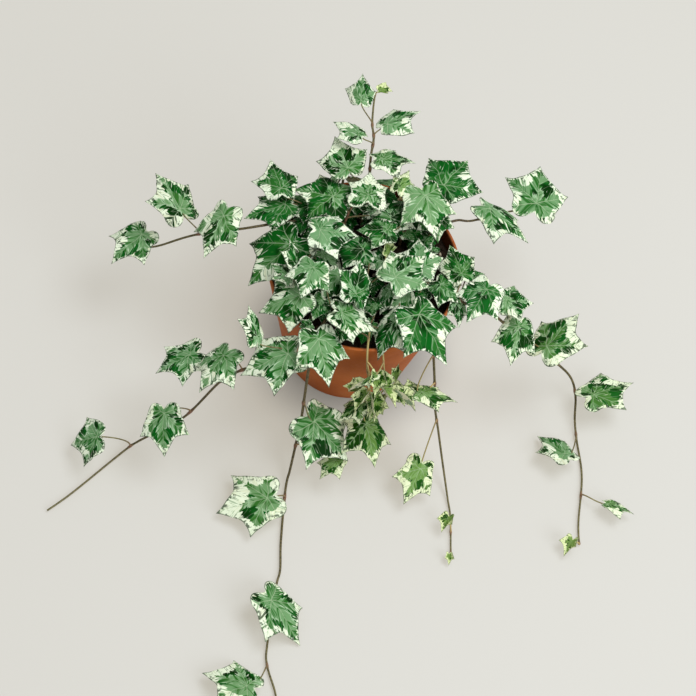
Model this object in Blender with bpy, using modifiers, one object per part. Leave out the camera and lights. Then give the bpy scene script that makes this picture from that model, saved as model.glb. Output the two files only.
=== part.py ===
# Potted variegated English ivy: a tapered pot, its soil, and leafy stems that come up out of the
# soil, cross the rim and trail on the surface that the pot stands on. The origin is the middle of
# the pot's underside, +Z is up, and -Y is the front.

from collections import namedtuple
from math import cos, dist, pi, radians, sin

import bmesh
import bpy
from mathutils import Vector

MM = 0.001

# Driving sizes in millimetres
POT_HEIGHT = 110.0
RIM_RADIUS = 65.0
BASE_RADIUS = 45.0
WALL = 2.4
LIP_ROUNDING = 0.8
FOOT_ROUNDING = 1.5
ROUNDING_INSET = 0.3
FLOOR_THICKNESS = 3.0
DRAIN_HOLES = 5
DRAIN_HOLE_RADIUS = 3.5
DRAIN_CIRCLE = 27.0
SOIL_TOP = 101.0
SOIL_EDGE = 3.0
SOIL_EDGE_DROP = 0.4
SOIL_UNEVENNESS = 0.8
ROOT_DEPTH = 13.0
ROOT_HOLE_MARGIN = 0.5
GAP = 0.3
CUT_OVERRUN = 6.0
BLADE_THICKNESS = 0.7
STALK_RADIUS = 0.5
STALK_RISE_SHARE = 0.3
STALK_DIP_SHARE = 0.15
STALK_END_SHARE = 0.05
STALK_SINK = 0.3
STEM_TIP_SHARE = 0.6

# Fineness
POT_STEPS = 44
SOIL_STEPS = 30
DRAIN_HOLE_SIDES = 16
ROOT_HOLE_SIDES = 8
STEM_STEPS = 2
STALK_STEPS = 3
READING_STEPS = 8
SHARP_ANGLE = 30
WELD_DISTANCE = 0.001

# A leaf stalk leaves its stem at waypoint number `at`, and the veins of its blade start at `base`.
# Heading is the compass turn of the midrib from +X, pitch lifts its tip, and bank lifts the side on
# its right. `wide` scales the blade across, and `heel` is the reach of its two lobes by the stalk.
Leaf = namedtuple("Leaf", "at base heading pitch bank length wide heel", defaults=(0.9, 0.52))
Vine = namedtuple("Vine", "name radius route leaves")

# Each stem comes up out of the soil at its first waypoint.
VINES = (
    Vine("vine_left_upper", 1.1,
         ((-28, 22, 106), (-44, 20, 114), (-60, 13, 117), (-73, 7, 117), (-84, 3, 115),
          (-115, 0, 98), (-139, -2, 76), (-150, 0, 66)),
         (Leaf(4.2, (-98, 6, 121), -105, -12, -15, 31, 0.78),
          Leaf(4.9, (-129, 15, 102), 133, 10, -5, 32, 0.78),
          Leaf(6.8, (-153, 6, 72), -122, 0, -5, 29, 0.9))),
    Vine("vine_top", 1.0,
         ((-8, 34, 106), (-9, 52, 122), (-12, 70, 131), (-13, 83, 135), (-16, 92, 137),
          (-18, 106, 136), (-19, 119, 134)),
         (Leaf(1.0, (-25, 51, 142), 118, 0, 0, 30, 0.9, 0.36),
          Leaf(1.6, (-5, 63, 144), 15, 0, 16, 24, 0.85),
          Leaf(2.6, (-23, 74, 149), 155, 0, -15, 21, 0.85, 0.4),
          Leaf(3.2, (-7, 92, 141), 45, 5, 10, 29, 0.65, 0.34),
          Leaf(4.0, (-27, 107, 141), 98, 0, 0, 26, 0.62, 0.3),
          Leaf(6.0, (-16, 122, 135), 20, 0, 0, 9, 0.8))),
    Vine("vine_right_upper", 1.0,
         ((34, 36, 106), (44, 41, 113), (54, 47, 115), (64, 50, 114), (82, 67, 104),
          (94, 78, 96)),
         (Leaf(1.2, (40, 63, 129), 66, 0, 0, 31, 1.05, 0.48),
          Leaf(1.0, (38, 44, 121), -70, -5, 0, 20, 0.95),
          Leaf(3.3, (74, 60, 118), -25, 0, 15, 34, 0.7),
          Leaf(4.8, (105, 81, 104), 90, 0, -10, 36, 0.95))),
    Vine("vine_right", 1.1,
         ((36, -6, 106), (48, -7, 113), (60, -9, 114), (69, -13, 113), (88, -9, 102),
          (102, -8, 88), (125, -4, 62), (143, 0, 40), (158, 2, 20), (165, -6, 10),
          (168, -22, 5), (172, -36, 2.2), (180, -63, 1.8), (183, -98, 1.8), (186, -114, 2.0)),
         (Leaf(2.4, (64, 4, 120), 118, 5, 0, 24, 0.85),
          Leaf(1.0, (52, -6, 118), -30, 0, 0, 19, 0.95),
          Leaf(2.2, (66, -14, 114), -72, -12, 10, 17, 0.65),
          Leaf(2.8, (73, 10, 112), -20, 0, 0, 11, 0.8),
          Leaf(3.6, (83, -3, 120), -108, 0, 5, 27, 0.92),
          Leaf(4.2, (98, -1, 108), 20, -10, 0, 20, 1.05),
          Leaf(5.0, (110, -9, 92), -88, -15, 5, 27, 0.85, 0.45),
          Leaf(5.9, (133, -8, 72), 63, 12, 20, 34, 0.88),
          Leaf(8.8, (176, -10, 24), 38, 0, 10, 34, 0.75),
          Leaf(10.8, (164, -56, 16), 140, -15, -20, 27, 0.8),
          Leaf(12.4, (200, -84, 12), 0, -5, 25, 20, 0.6, 0.4),
          Leaf(14.0, (180, -116, 7), -110, 5, -15, 12, 0.8))),
    Vine("vine_front_right", 1.0,
         ((38, -22, 106), (47, -33, 112.5), (54, -42, 112.5), (59, -51, 95), (64, -58, 74),
          (68, -64, 55), (74, -70, 36), (82, -82, 16), (88, -94, 6), (92, -104, 2.2),
          (96, -116, 1.8), (101, -142, 1.8)),
         (Leaf(1.5, (42, -41, 132), -42, -12, 12, 36, 0.95),
          Leaf(2.8, (56, -70, 84), 8, -5, 20, 25, 0.7),
          Leaf(3.9, (53, -70, 79), 180, 0, 0, 16, 0.55),
          Leaf(5.6, (68, -95, 22), -100, -15, 20, 26, 0.85),
          Leaf(10.4, (94, -121, 10), -105, 0, -10, 11, 0.8),
          Leaf(11.0, (100, -145, 4), -80, 0, 0, 7, 0.7))),
    Vine("vine_front", 1.1,
         ((-14, -38, 106), (-17, -50, 112), (-20, -62, 112.5), (-21, -71, 104), (-20, -77, 84),
          (-19, -83, 62), (-18, -89, 40), (-18, -99, 18), (-18, -110, 6), (-18, -123, 2.2),
          (-13, -161, 1.8), (-9, -182, 1.8), (-9, -195, 1.8), (-6, -236, 1.8),
          (-3, -250, 1.8), (7, -269, 1.8), (10, -285, 2.0)),
         (Leaf(2.6, (-18, -69, 121), -62, -8, 5, 31, 0.9),
          Leaf(1.9, (-26, -60, 118), 140, 0, 0, 9, 0.8),
          Leaf(5.2, (-9, -91, 46), -25, -22, 0, 36, 1.0),
          Leaf(6.9, (11, -104, 24), -120, 0, -15, 17, 0.9),
          Leaf(9.2, (-29, -139, 16), -152, -5, 5, 35, 0.95),
          Leaf(12.0, (-10, -211, 17), -35, -15, 20, 36, 0.85),
          Leaf(14.0, (-13, -271, 14), 170, 0, -18, 31, 0.9))),
    Vine("vine_left_low", 1.1,
         ((-24, -31, 106), (-26, -46, 112), (-28, -60, 112.5), (-36, -72, 104), (-56, -86, 97),
          (-66, -89, 88), (-76, -92, 74), (-96, -104, 34), (-122, -115, 8),
          (-132, -124, 2.2), (-157, -161, 1.8), (-170, -178, 2.0)),
         (Leaf(3.0, (-36, -78, 109), -150, -12, -10, 33, 1.0),
          Leaf(3.1, (-57, -76, 118), 110, 10, -45, 23, 0.75),
          Leaf(4.6, (-76, -84, 98), -115, -12, -22, 28, 0.9),
          Leaf(5.9, (-99, -78, 76), -145, -8, -10, 25, 0.95, 0.68),
          Leaf(6.8, (-108, -112, 50), -78, -12, -20, 29, 0.9, 0.46),
          Leaf(8.6, (-149, -128, 26), -168, -30, 0, 23, 1.25, 0.42))),
    Vine("shoot_front", 0.8,
         ((12, -34, 106), (13, -48, 112), (14.5, -64, 113.5), (17, -70, 100), (20, -72, 85),
          (21, -74, 66), (22, -78, 48)),
         (Leaf(1.5, (-3, -55, 117), -100, 0, 0, 12, 0.9),
          Leaf(3.2, (19, -80, 68), -135, -12, -15, 19, 0.8),
          Leaf(4.4, (29, -75, 70), -110, -10, 0, 14, 0.8),
          Leaf(3.8, (14, -78, 82), 175, 0, 0, 10, 0.8),
          Leaf(5.6, (25, -81, 42), -62, -5, 15, 30, 0.9))),
    Vine("shoot_front_right", 0.8,
         ((23, -36, 106), (21, -50, 112), (24.5, -62.5, 113), (29, -70, 98), (34, -73, 84)),
         (Leaf(3.2, (36, -70, 95), 85, 20, 0, 10, 0.5),
          Leaf(3.0, (32, -78, 99), 175, -10, 0, 14, 0.8),
          Leaf(4.0, (38, -74, 86), -40, -15, 0, 13, 0.8))),
    Vine("crown_left", 0.9,
         ((-38, 30, 106), (-45, 30, 116), (-52, 27, 120)),
         (Leaf(1.5, (-65, 27, 136), 115, -5, -5, 27, 0.85, 0.44),
          Leaf(0.6, (-41, 29, 123), -150, 0, 0, 22, 0.9),
          Leaf(2.0, (-60, 22, 126), -148, 0, 5, 28, 0.72, 0.44))),
    Vine("crown_back", 0.9,
         ((-18, 20, 106), (-19, 24, 118), (-17, 30, 128)),
         (Leaf(1.5, (-30, 32, 133), 178, 0, 0, 27, 1.0, 0.66),
          Leaf(1.2, (-1, 34, 123), 170, 0, 0, 12, 0.9),
          Leaf(2.0, (-8, 35, 140), 97, 5, 0, 18, 1.05, 0.8))),
    Vine("crown_right", 0.9,
         ((20, 26, 106), (22, 31, 118), (24, 38, 128)),
         (Leaf(2.0, (29, 44, 141), -60, -8, 8, 29, 1.0, 0.56),
          Leaf(1.2, (9, 30, 126), 50, 0, 0, 24, 0.95),
          Leaf(0.6, (22, 29, 115), 20, 0, 0, 12, 0.9),
          Leaf(1.6, (10, 17, 132), -170, 0, 0, 20, 0.9),
          Leaf(1.8, (11, 45, 142), 75, 10, 0, 15, 0.75))),
    Vine("crown_middle_left", 0.9,
         ((-34, -8, 106), (-35, -6, 116), (-36, -4, 124)),
         (Leaf(2.0, (-33, 0, 140), 10, 0, 0, 25, 1.0),
          Leaf(1.3, (-29, -4, 119), -25, -12, 0, 19, 0.9),
          Leaf(1.2, (-42, -25, 130), 110, 15, -45, 20, 0.7, 0.3),
          Leaf(1.5, (-51, -5, 122), -128, -20, -3, 37, 0.95))),
    Vine("crown_front_left", 0.9,
         ((-20, -22, 106), (-22, -26, 117), (-26, -32, 124)),
         (Leaf(1.5, (-32, -26, 136), -97, 5, 0, 23, 1.0),
          Leaf(2.0, (-36, -42, 125), -155, -20, 0, 30, 0.95, 0.45),
          Leaf(1.3, (-46, -31, 126), 150, 0, 0, 16, 0.8),
          Leaf(1.7, (-15, -23, 126), -110, 0, 0, 20, 1.0),
          Leaf(1.2, (-22, -41, 123), -100, -6, 0, 15, 0.9),
          Leaf(1.0, (-7, -51, 130), -5, -10, 15, 26, 0.95))),
    Vine("crown_middle", 0.9,
         ((4, -18, 106), (3, -24, 116), (1, -30, 124)),
         (Leaf(2.0, (-1, -36, 132), 90, 10, -30, 25, 0.85),
          Leaf(0.8, (-3, 2, 126), -175, 0, 0, 24, 0.9),
          Leaf(1.4, (12, -1, 120), 160, 0, 0, 17, 0.9))),
    Vine("crown_middle_right", 0.9,
         ((20, -12, 106), (21, -15, 117), (22, -18, 124)),
         (Leaf(2.0, (22, -20, 137), 55, 5, 0, 27, 1.0),
          Leaf(1.2, (36, -3, 125), 100, 0, 0, 26, 0.9),
          Leaf(1.4, (13, 5, 122), 75, 0, 0, 11, 0.55),
          Leaf(1.5, (30, -23, 126), -65, -20, 25, 18, 0.9),
          Leaf(1.0, (21, -22, 124), -110, -25, -30, 18, 0.9),
          Leaf(0.7, (27, -46, 125), -110, -25, -35, 26, 0.9))),
    Vine("vine_back_left", 1.0,
         ((-22, 40, 106), (-26, 51, 112), (-27, 60, 112.5), (-28, 69, 104), (-31, 73, 84),
          (-34, 77, 58), (-36, 80, 32), (-38, 86, 12), (-40, 94, 4)),
         (Leaf(2.6, (-32, 70, 100), 160, -60, 0, 26),
          Leaf(3.4, (-21, 78, 90), 95, -60, 0, 25),
          Leaf(4.6, (-46, 76, 60), 160, -50, 0, 26),
          Leaf(6.6, (-38, 92, 28), 85, -30, 0, 26))),
    Vine("vine_back_right", 1.0,
         ((10, 42, 106), (13, 53, 112), (15, 62, 112.5), (18, 70, 104), (21, 75, 82),
          (24, 79, 56), (26, 83, 30), (29, 89, 12), (34, 97, 4)),
         (Leaf(2.6, (22, 72, 98), 30, -60, 0, 26),
          Leaf(3.4, (9, 80, 88), 85, -60, 0, 25),
          Leaf(4.6, (36, 81, 60), 35, -50, 0, 26),
          Leaf(6.6, (28, 95, 27), 100, -30, 0, 26))),
)

# The blade's outline, seen from where its veins start: a middle lobe, two side lobes and two heels,
# with straight edges from lobe to lobe. Angles are from the midrib, and reaches are shares of the
# blade's length.
MIDDLE_POINT = 40
SIDE_ANGLE = 54
SIDE_REACH = 0.88
SIDE_FRONT_POINT = 46
SIDE_BACK_POINT = 33
NOTCH_ANGLE = 35
HEEL_ANGLE = 110
HEEL_POINT = 52
HEEL_SWEEP = 78
OUTLINE_ANGLES = (0, 33, 54, 84, 110, 146)
VEIN_ANGLES = (0, SIDE_ANGLE, HEEL_ANGLE)
VEIN_SPREAD = 27
TIP_DROOP = 0.16
PLEAT = 0.07
MIDDLE_VEIN_SHARE = 0.5
SIDE_VEIN_SHARE = 0.45


def clear_scene():
    for obj in list(bpy.data.objects):
        bpy.data.objects.remove(obj)


def new_collection(name):
    collection = bpy.data.collections.new(name)
    bpy.context.scene.collection.children.link(collection)
    return collection


def material(name, colour, roughness):
    mat = bpy.data.materials.new(name)
    mat.use_nodes = True
    shader = mat.node_tree.nodes["Principled BSDF"]
    shader.inputs["Base Color"].default_value = (*colour, 1.0)
    shader.inputs["Roughness"].default_value = roughness
    shader.inputs["Metallic"].default_value = 0.0
    return mat


def new_object(name, data, collection, *materials):
    obj = bpy.data.objects.new(name, data)
    collection.objects.link(obj)
    for mat in materials:
        data.materials.append(mat)
    return obj


def as_mesh_object(obj):
    """The object with its modifiers or bevel made real, its seams welded, in place of the object."""
    bpy.context.view_layer.update()
    evaluated = obj.evaluated_get(bpy.context.evaluated_depsgraph_get())
    mesh = bpy.data.meshes.new_from_object(evaluated)
    bm = bmesh.new()
    bm.from_mesh(mesh)
    bmesh.ops.remove_doubles(bm, verts=bm.verts, dist=WELD_DISTANCE * MM)
    bm.to_mesh(mesh)
    bm.free()
    solid = bpy.data.objects.new(obj.name, mesh)
    solid.matrix_world = obj.matrix_world
    name = obj.name
    for collection in obj.users_collection:
        collection.objects.link(solid)
    bpy.data.objects.remove(obj)
    solid.name = name
    return solid


def turned(name, profile, steps, collection, mat):
    """A solid of revolution: the profile holds (radius, height) in millimetres."""
    mesh = bpy.data.meshes.new(name)
    points = [(r * MM, 0.0, z * MM) for r, z in profile]
    mesh.from_pydata(points, [(i, i + 1) for i in range(len(points) - 1)], [])
    obj = new_object(name, mesh, collection, mat)
    screw = obj.modifiers.new("Screw", "SCREW")
    screw.axis = "Z"
    screw.steps = steps
    screw.render_steps = steps
    screw.use_merge_vertices = True
    screw.merge_threshold = WELD_DISTANCE * MM
    return as_mesh_object(obj)


def wall_radius(height):
    """The pot's outer radius at a height."""
    return BASE_RADIUS + (RIM_RADIUS - BASE_RADIUS) * height / POT_HEIGHT


def cutter_cylinder(name, x, y, radius, low, high, sides, collection):
    mesh = bpy.data.meshes.new(name)
    bm = bmesh.new()
    bmesh.ops.create_cone(bm, cap_ends=True, segments=sides, radius1=radius * MM,
                          radius2=radius * MM, depth=(high - low) * MM)
    bm.to_mesh(mesh)
    bm.free()
    obj = new_object(name, mesh, collection)
    obj.location = (x * MM, y * MM, 0.5 * (low + high) * MM)
    obj.hide_render = True
    obj.display_type = "WIRE"
    return obj


def combine(obj, operation, collection):
    """The object cut by, or grown together with, all the solids in the collection."""
    boolean = obj.modifiers.new(operation.title(), "BOOLEAN")
    boolean.operation = operation
    boolean.operand_type = "COLLECTION"
    boolean.collection = collection
    boolean.solver = "EXACT"
    boolean.material_mode = "TRANSFER"
    return as_mesh_object(obj)


def empty_out(collection):
    for obj in list(collection.objects):
        bpy.data.objects.remove(obj)
    bpy.data.collections.remove(collection)


def build_pot(collection, mat):
    """A plain tapered wall with a rounded lip and foot, and drain holes through its floor."""
    inner_rim = RIM_RADIUS - WALL
    lip_inset = ROUNDING_INSET * LIP_ROUNDING
    foot_inset = ROUNDING_INSET * FOOT_ROUNDING
    profile = [
        (0.0, FLOOR_THICKNESS),
        (wall_radius(FLOOR_THICKNESS) - WALL, FLOOR_THICKNESS),
        (inner_rim, POT_HEIGHT - LIP_ROUNDING),
        (inner_rim + lip_inset, POT_HEIGHT - lip_inset),
        (inner_rim + LIP_ROUNDING, POT_HEIGHT),
        (RIM_RADIUS - LIP_ROUNDING, POT_HEIGHT),
        (RIM_RADIUS - lip_inset, POT_HEIGHT - lip_inset),
        (RIM_RADIUS, POT_HEIGHT - LIP_ROUNDING),
        (wall_radius(FOOT_ROUNDING), FOOT_ROUNDING),
        (BASE_RADIUS - foot_inset, foot_inset),
        (BASE_RADIUS - FOOT_ROUNDING, 0.0),
        (0.0, 0.0),
    ]
    pot = turned("pot", profile, POT_STEPS, collection, mat)
    holes = new_collection("drain holes")
    for k in range(DRAIN_HOLES):
        turn = 2 * pi * (k + 0.5) / DRAIN_HOLES
        cutter_cylinder(f"drain_{k}", DRAIN_CIRCLE * cos(turn), DRAIN_CIRCLE * sin(turn),
                        DRAIN_HOLE_RADIUS, -CUT_OVERRUN, FLOOR_THICKNESS + CUT_OVERRUN,
                        DRAIN_HOLE_SIDES, holes)
    pot = combine(pot, "DIFFERENCE", holes)
    empty_out(holes)
    pot.data.shade_smooth()
    pot.data.set_sharp_from_angle(angle=radians(SHARP_ANGLE))
    return pot


def soil_lift(x, y):
    """Low mounds between the stems, in millimetres."""
    return SOIL_UNEVENNESS * (sin(0.11 * x + 0.4) * cos(0.13 * y) + 0.6 * sin(0.23 * x - 0.19 * y))


def build_soil(collection, mat):
    """The pot's filling, with an uneven top and a plain hole where each stem stands."""
    low = FLOOR_THICKNESS + GAP
    side = SOIL_TOP - SOIL_EDGE
    top_edge = wall_radius(SOIL_TOP) - WALL - GAP
    profile = [
        (0.0, SOIL_TOP),
        (top_edge / 3, SOIL_TOP),
        (2 * top_edge / 3, SOIL_TOP),
        (top_edge - SOIL_EDGE, SOIL_TOP - SOIL_EDGE_DROP),
        (wall_radius(side) - WALL - GAP, side),
        (wall_radius(low) - WALL - GAP, low),
        (0.0, low),
    ]
    soil = turned("soil", profile, SOIL_STEPS, collection, mat)
    for vertex in soil.data.vertices:
        if vertex.co.z > (side + GAP) * MM:
            vertex.co.z += soil_lift(vertex.co.x / MM, vertex.co.y / MM) * MM
    bm = bmesh.new()
    bm.from_mesh(soil.data)
    bmesh.ops.triangulate(bm, faces=bm.faces)
    bm.to_mesh(soil.data)
    bm.free()
    holes = new_collection("root holes")
    for vine in VINES:
        x, y, _ = vine.route[0]
        cutter_cylinder("hole_" + vine.name, x, y, vine.radius + ROOT_HOLE_MARGIN,
                        SOIL_TOP - ROOT_DEPTH - GAP, SOIL_TOP + CUT_OVERRUN,
                        ROOT_HOLE_SIDES, holes)
    soil = combine(soil, "DIFFERENCE", holes)
    empty_out(holes)
    return soil


def smooth_route(waypoints, steps):
    """A smooth curve through the waypoints, with `steps` points to each stretch."""
    ends = [waypoints[0], *waypoints, waypoints[-1]]
    points = []
    for i in range(1, len(ends) - 2):
        for k in range(steps):
            t = k / steps
            points.append(tuple(
                0.5 * (2 * b + (c - a) * t + (2 * a - 5 * b + 4 * c - d) * t * t
                       + (3 * b - a - 3 * c + d) * t ** 3)
                for a, b, c, d in zip(*ends[i - 1:i + 3])))
    points.append(tuple(waypoints[-1]))
    return points


def point_on_route(waypoints, at):
    """The point at waypoint number `at`, which may lie between two of them."""
    points = smooth_route(waypoints, READING_STEPS)
    i = min(int(at * READING_STEPS), len(points) - 2)
    share = at * READING_STEPS - i
    return tuple(a + (b - a) * share for a, b in zip(points[i], points[i + 1]))


def tube(name, points, radius, end_radius, round_level, collection, mat):
    """A closed tube through points in millimetres, tapering to its end."""
    curve = bpy.data.curves.new(name, "CURVE")
    curve.dimensions = "3D"
    curve.bevel_depth = radius * MM
    curve.bevel_resolution = round_level
    curve.use_fill_caps = True
    spline = curve.splines.new("POLY")
    spline.points.add(len(points) - 1)
    for i, (point, co) in enumerate(zip(spline.points, points)):
        point.co = (co[0] * MM, co[1] * MM, co[2] * MM, 1.0)
        share = i / (len(points) - 1)
        point.radius = 1.0 + (end_radius / radius - 1.0) * share
    return as_mesh_object(new_object(name, curve, collection, mat))


def added(*vectors):
    return tuple(map(sum, zip(*vectors)))


def scaled(vector, k):
    return tuple(c * k for c in vector)


def leaf_axes(leaf):
    """The blade's directions: along its midrib, across to its right, and up out of its face."""
    heading, pitch, bank = (radians(a) for a in (leaf.heading, leaf.pitch, leaf.bank))
    along = (cos(heading) * cos(pitch), sin(heading) * cos(pitch), sin(pitch))
    level = (sin(heading), -cos(heading), 0.0)
    lift = (-sin(pitch) * cos(heading), -sin(pitch) * sin(heading), cos(pitch))
    across = added(scaled(level, cos(bank)), scaled(lift, sin(bank)))
    up = added(scaled(lift, cos(bank)), scaled(level, -sin(bank)))
    return along, across, up


def edge_between_lobes(reach, point, off_axis):
    """How far a lobe's straight edge lies at an angle off the lobe's own axis."""
    return reach * sin(radians(point)) / sin(radians(point + off_axis))


def leaf_reach(angle, heel):
    """The outline's distance from the veins' start, as a share of the blade's length."""
    a = abs(angle)
    if a > HEEL_ANGLE:
        return heel * cos(radians((a - HEEL_ANGLE) * HEEL_SWEEP / (180 - HEEL_ANGLE)))
    if a > SIDE_ANGLE:
        return max(edge_between_lobes(SIDE_REACH, SIDE_BACK_POINT, a - SIDE_ANGLE),
                   edge_between_lobes(heel, HEEL_POINT, HEEL_ANGLE - a))
    side = edge_between_lobes(SIDE_REACH, SIDE_FRONT_POINT, SIDE_ANGLE - a)
    if a > NOTCH_ANGLE:
        return side
    return max(side, edge_between_lobes(1.0, MIDDLE_POINT, a))


def blade_point(leaf, axes, angle, share):
    """A point of the blade's face, at an angle left of the midrib and a share of the reach there."""
    along, across, up = axes
    reach = leaf_reach(angle, leaf.heel) * share
    off_vein = min(abs(abs(angle) - vein) for vein in VEIN_ANGLES)
    lift = PLEAT * reach * min(1.0, off_vein / VEIN_SPREAD) - TIP_DROOP * reach ** 2
    side = -reach * sin(radians(angle)) * leaf.wide
    return added(leaf.base, scaled(along, reach * cos(radians(angle)) * leaf.length),
                 scaled(across, side * leaf.length), scaled(up, lift * leaf.length))


def build_blade(name, leaf, collection, mat):
    """A lobed blade: a pleated fan from the veins' start, bent at the middle of its three main veins,
    and thickened."""
    axes = leaf_axes(leaf)
    bm = bmesh.new()

    def vertex(angle, share):
        return bm.verts.new(Vector(blade_point(leaf, axes, angle, share)) * MM)

    start = vertex(0, 0)
    middle = vertex(0, MIDDLE_VEIN_SHARE)
    tip = vertex(0, 1)
    notch = vertex(180, 1)
    for turn in (1, -1):
        edge = [vertex(turn * angle, 1) for angle in OUTLINE_ANGLES[1:]]
        side = vertex(turn * SIDE_ANGLE, SIDE_VEIN_SHARE)
        rim = [tip, *edge, notch]
        fans = [(middle, rim[0:2]), (side, rim[1:4]), (start, rim[3:7])]
        faces = [(hub, a, b) for hub, run in fans for a, b in zip(run, run[1:])]
        faces += [(start, middle, rim[1]), (start, rim[1], side), (start, side, rim[3])]
        for face in faces:
            bm.faces.new(face[::turn])
    bmesh.ops.recalc_face_normals(bm, faces=bm.faces)
    mesh = bpy.data.meshes.new(name)
    bm.to_mesh(mesh)
    bm.free()
    obj = new_object(name, mesh, collection, mat)
    solidify = obj.modifiers.new("Solidify", "SOLIDIFY")
    solidify.thickness = BLADE_THICKNESS * MM
    solidify.offset = 0.0
    return as_mesh_object(obj)


def stalk_route(vine, leaf):
    """The leaf stalk's bend, from the middle of the stem up to the blade, just behind its veins."""
    along, _, up = leaf_axes(leaf)
    start = point_on_route(vine.route, leaf.at)
    span = dist(start, leaf.base)
    rise = added(start, (0.0, 0.0, STALK_RISE_SHARE * span))
    arrive = added(leaf.base, scaled(along, -STALK_RISE_SHARE * span),
                   scaled(up, -STALK_DIP_SHARE * span))
    end = added(leaf.base, scaled(along, -STALK_END_SHARE * leaf.length), scaled(up, -STALK_SINK))
    points = []
    for k in range(STALK_STEPS + 1):
        t = k / STALK_STEPS
        weights = ((1 - t) ** 3, 3 * t * (1 - t) ** 2, 3 * t * t * (1 - t), t ** 3)
        points.append(added(*(scaled(p, w) for p, w in zip((start, rise, arrive, end), weights))))
    return points


def build_vine(vine, collection, stem_mat, leaf_mat):
    """A stem with its leaf stalks and blades, grown together as one piece."""
    x, y, _ = vine.route[0]
    foot = (x, y, SOIL_TOP - ROOT_DEPTH)
    points = [foot, *smooth_route(vine.route, STEM_STEPS)]
    stem = tube(vine.name, points, vine.radius, STEM_TIP_SHARE * vine.radius, 1, collection, stem_mat)
    grown = new_collection("grown on " + vine.name)
    for k, leaf in enumerate(vine.leaves):
        tube(f"{vine.name}_stalk_{k}", stalk_route(vine, leaf), STALK_RADIUS, STALK_RADIUS, 0,
             grown, stem_mat)
        build_blade(f"{vine.name}_blade_{k}", leaf, grown, leaf_mat)
    stem = combine(stem, "UNION", grown)
    empty_out(grown)
    return stem


def main():
    clear_scene()
    ivy = new_collection("potted variegated ivy")
    pot_mat = material("terracotta plastic", (0.42, 0.13, 0.05), 0.5)
    soil_mat = material("potting soil", (0.02, 0.014, 0.01), 0.95)
    stem_mat = material("ivy stem", (0.25, 0.16, 0.09), 0.6)
    leaf_mat = material("variegated ivy leaf", (0.30, 0.42, 0.24), 0.45)
    build_pot(ivy, pot_mat)
    build_soil(ivy, soil_mat)
    for vine in VINES:
        build_vine(vine, ivy, stem_mat, leaf_mat)


main()
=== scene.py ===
# Looks of the potted variegated ivy. Each stem, with its leaf stalks and blades, is made again here,
# finer, along the same routes as its solid, and so are the pot and the soil. The origin is the middle
# of the pot's underside, +Z is up, and -Y is the front.

from collections import namedtuple
from math import cos, degrees, dist, exp, hypot, pi, radians, sin
from random import Random
from types import SimpleNamespace

import bmesh
import bpy
import numpy as np
from mathutils import Euler, Matrix, Vector, noise


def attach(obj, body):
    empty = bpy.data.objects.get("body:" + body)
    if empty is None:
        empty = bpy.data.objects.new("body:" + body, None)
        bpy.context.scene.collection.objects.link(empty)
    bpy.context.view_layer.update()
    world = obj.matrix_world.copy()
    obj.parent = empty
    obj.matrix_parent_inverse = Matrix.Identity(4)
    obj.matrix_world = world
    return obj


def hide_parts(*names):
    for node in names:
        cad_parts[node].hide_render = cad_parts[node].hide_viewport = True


MM = 0.001

# Sizes in millimetres, as in the solids
POT_HEIGHT = 110.0
RIM_RADIUS = 65.0
BASE_RADIUS = 45.0
WALL = 2.4
LIP_ROUNDING = 0.8
FOOT_ROUNDING = 1.5
FLOOR_THICKNESS = 3.0
DRAIN_HOLES = 5
DRAIN_HOLE_RADIUS = 3.5
DRAIN_CIRCLE = 27.0
SOIL_TOP = 101.0
SOIL_UNEVENNESS = 0.8
GAP = 0.3
ROOT_DEPTH = 13.0
STALK_RISE_SHARE = 0.3
STALK_DIP_SHARE = 0.15
STALK_END_SHARE = 0.05
STALK_SINK = 0.3
STEM_TIP_SHARE = 0.6

# A leaf stalk leaves its stem at waypoint number `at`, and the veins of its blade start at `base`.
# Heading is the compass turn of the midrib from +X, pitch lifts its tip, and bank lifts the side on
# its right. `look` names its colouring, `wide` scales the blade across, and `heel` is the reach of
# its two lobes by the stalk.
Leaf = namedtuple("Leaf", "at base heading pitch bank length look wide heel",
                  defaults=("mixed", 0.9, 0.52))
Vine = namedtuple("Vine", "name radius age route leaves")

# Each stem comes up out of the soil at its first waypoint. Its age sets the colour of its bark, from
# 0, a green shoot, to 1, a brown stem.
VINES = []


def stem(name, radius, age, route, *leaves):
    VINES.append(Vine(name, radius, age, route, [Leaf(*leaf) for leaf in leaves]))


stem("vine_left_upper", 1.1, 0.8,
     ((-28, 22, 106), (-44, 20, 114), (-60, 13, 117), (-73, 7, 117), (-84, 3, 115),
      (-115, 0, 98), (-139, -2, 76), (-150, 0, 66)),
     (4.2, (-98, 6, 121), -105, -12, -15, 31, "mixed", 0.78),
     (4.9, (-129, 15, 102), 133, 10, -5, 32, "striped", 0.78),
     (6.8, (-153, 6, 72), -122, 0, -5, 29))
stem("vine_top", 1.0, 0.4,
     ((-8, 34, 106), (-9, 52, 122), (-12, 70, 131), (-13, 83, 135), (-16, 92, 137),
      (-18, 106, 136), (-19, 119, 134)),
     (1.0, (-25, 51, 142), 118, 0, 0, 30, "broad_grey", 0.9, 0.36),
     (1.6, (-5, 63, 144), 15, 0, 16, 24, "white", 0.85),
     (2.6, (-23, 74, 149), 155, 0, -15, 21, "creamy", 0.85, 0.4),
     (3.2, (-7, 92, 141), 45, 5, 10, 29, "mixed", 0.65, 0.34),
     (4.0, (-27, 107, 141), 98, 0, 0, 26, "mixed", 0.62, 0.3),
     (6.0, (-16, 122, 135), 20, 0, 0, 9, "young", 0.8))
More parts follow.
